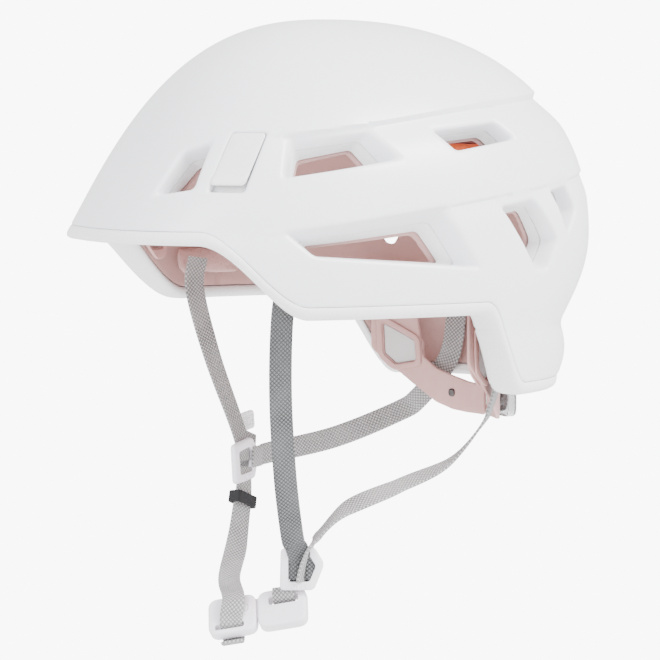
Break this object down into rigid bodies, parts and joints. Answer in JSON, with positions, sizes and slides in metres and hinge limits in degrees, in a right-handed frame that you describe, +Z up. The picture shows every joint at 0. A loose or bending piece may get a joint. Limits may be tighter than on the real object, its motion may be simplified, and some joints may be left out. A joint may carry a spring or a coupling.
{
  "type": "climbing helmet",
  "caption": "Vented climbing helmet with foam core, fold-away adjustable cradle, headlamp clips, and webbing chin straps with a release buckle.",
  "frame": {"origin": "mid-plane, level with the rim beside the ears, midway between the ears", "axes": "+Z up through the crown, -Y towards the front of the helmet, +X towards the wearer's left"},
  "size_m": [0.2112, 0.2818, 0.3287],
  "materials": {
    "outer_shell": "satin white",
    "foam_core": "fine matt white",
    "inner_liner": "soft dusty pink",
    "rim_bead": "fine matt white",
    "headlamp_clip_left": "milky white",
    "headlamp_clip_right": "milky white",
    "rear_headlamp_clip": "milky white",
    "brow_pad": "soft orange",
    "crown_pad": "soft orange",
    "temple_pad_left": "soft dusty pink",
    "temple_pad_right": "soft dusty pink",
    "rear_pad_left": "soft orange",
    "rear_pad_right": "soft orange",
    "front_anchor_left": "matt dark",
    "rear_anchor_left": "matt dark",
    "front_anchor_right": "matt dark",
    "rear_anchor_right": "matt dark",
    "cradle_arm_left": "dusty pink",
    "window_frame_left": "dusty pink",
    "window_pane_left": "clear",
    "pivot_boss_left": "dusty pink",
    "pivot_pin_left": "dark satin",
    "cradle_arm_right": "dusty pink",
    "window_frame_right": "dusty pink",
    "window_pane_right": "clear",
    "pivot_boss_right": "dusty pink",
    "pivot_pin_right": "dark satin",
    "adjuster_housing": "clear",
    "adjuster_dial": "matt dark",
    "adjuster_pinion": "milky white",
    "rack_left": "dusty pink",
    "rack_right": "dusty pink",
    "height_strip_left": "milky white",
    "height_strip_right": "milky white",
    "front_strap_left": "woven grey webbing",
    "rear_strap_left": "woven grey webbing",
    "front_strap_right": "woven grey webbing",
    "rear_strap_right": "woven grey webbing",
    "divider_left": "pale lilac",
    "divider_right": "pale lilac",
    "buckle_socket": "pale lilac",
    "buckle_plug": "pale lilac",
    "release_button": "milky white",
    "chin_strap": "woven grey webbing",
    "chin_loop": "woven grey webbing",
    "plug_loop": "woven grey webbing",
    "strap_keeper": "matt dark",
    "strap_tail": "woven grey webbing",
    "strap_tip": "milky white"
  },
  "bodies": {
    "shell": {"outer_shell": "outer_shell", "foam_core": "foam_core", "inner_liner": "inner_liner", "rim_bead": "rim_bead", "brow_pad": "brow_pad", "crown_pad": "crown_pad", "temple_pad_left": "temple_pad_left", "temple_pad_right": "temple_pad_right", "rear_pad_left": "rear_pad_left", "rear_pad_right": "rear_pad_right", "front_anchor_left": "front_anchor_left", "rear_anchor_left": "rear_anchor_left", "front_anchor_right": "front_anchor_right", "rear_anchor_right": "rear_anchor_right", "pivot_boss_left": "pivot_boss_left", "pivot_boss_right": "pivot_boss_right", "front_strap_left": "front_strap_left", "rear_strap_left": "rear_strap_left", "front_strap_right": "front_strap_right", "rear_strap_right": "rear_strap_right", "divider_left": "divider_left", "divider_right": "divider_right", "buckle_plug": "buckle_plug", "plug_loop": "plug_loop", "strap_tail": "strap_tail", "strap_tip": "strap_tip"},
    "clip_left": {"headlamp_clip_left": "headlamp_clip_left"},
    "clip_right": {"headlamp_clip_right": "headlamp_clip_right"},
    "clip_rear": {"rear_headlamp_clip": "rear_headlamp_clip"},
    "cradle": {"cradle_arm_left": "cradle_arm_left", "window_frame_left": "window_frame_left", "window_pane_left": "window_pane_left", "pivot_pin_left": "pivot_pin_left", "cradle_arm_right": "cradle_arm_right", "window_frame_right": "window_frame_right", "window_pane_right": "window_pane_right", "pivot_pin_right": "pivot_pin_right", "height_strip_left": "height_strip_left", "height_strip_right": "height_strip_right", "adjuster_housing": "adjuster_housing"},
    "dial": {"adjuster_dial": "adjuster_dial", "adjuster_pinion": "adjuster_pinion"},
    "left_rack": {"rack_left": "rack_left"},
    "right_rack": {"rack_right": "rack_right"},
    "chin_side": {"buckle_socket": "buckle_socket", "chin_strap": "chin_strap", "chin_loop": "chin_loop"},
    "release": {"release_button": "release_button"},
    "keeper": {"strap_keeper": "strap_keeper"}
  },
  "joints": [
    {"name": "cradle_fold", "type": "hinge", "parent": "shell", "child": "cradle", "pos_m": [0, 0.065, 0.002], "axis": [-1, 0, 0], "range_deg": [0, 150]},
    {"name": "dial_turn", "type": "hinge", "parent": "cradle", "child": "dial", "pos_m": [0, 0.1026, -0.055], "axis": [0, 1, 0], "range_deg": [-60, 60]},
    {"name": "left_rack_slide", "type": "slide", "parent": "cradle", "child": "left_rack", "axis": [1, 0, 0], "range_m": [-0.0036, 0.0036]},
    {"name": "right_rack_slide", "type": "slide", "parent": "cradle", "child": "right_rack", "axis": [-1, 0, 0], "range_m": [-0.0037, 0.0037]},
    {"name": "clip_left_flex", "type": "hinge", "parent": "shell", "child": "clip_left", "pos_m": [0.07182, -0.07661, 0.09299], "axis": [-0.6453, -0.7639, -0.0009], "range_deg": [0, 8], "stiffness_Nm_per_rad": 0.05},
    {"name": "clip_right_flex", "type": "hinge", "parent": "shell", "child": "clip_right", "pos_m": [-0.07182, -0.07661, 0.09299], "axis": [-0.6453, 0.7639, 0.0009], "range_deg": [0, 8], "stiffness_Nm_per_rad": 0.05},
    {"name": "clip_rear_flex", "type": "hinge", "parent": "shell", "child": "clip_rear", "pos_m": [0, 0.13078, 0.08755], "axis": [1, 0, 0], "range_deg": [0, 8], "stiffness_Nm_per_rad": 0.05},
    {"name": "chin_swing", "type": "hinge", "parent": "shell", "child": "chin_side", "pos_m": [-0.0475, -0.0295, -0.0995], "axis": [-0.5014, 0.4999, -0.7061], "range_deg": [0, 25]},
    {"name": "release_press", "type": "slide", "parent": "chin_side", "child": "release", "axis": [-0.5515, 0.5209, -0.6516], "range_m": [0, 0.0006], "stiffness_N_per_m": 600},
    {"name": "keeper_slide", "type": "slide", "parent": "chin_side", "child": "keeper", "axis": [0.3052, -0.2616, -0.9156], "range_m": [0, 0.004]}
  ],
  "couplings": [
    {"joint": "dial_turn", "follows": "left_rack_slide", "rad_per_m": 285.71},
    {"joint": "right_rack_slide", "follows": "left_rack_slide", "ratio": 1}
  ]
}
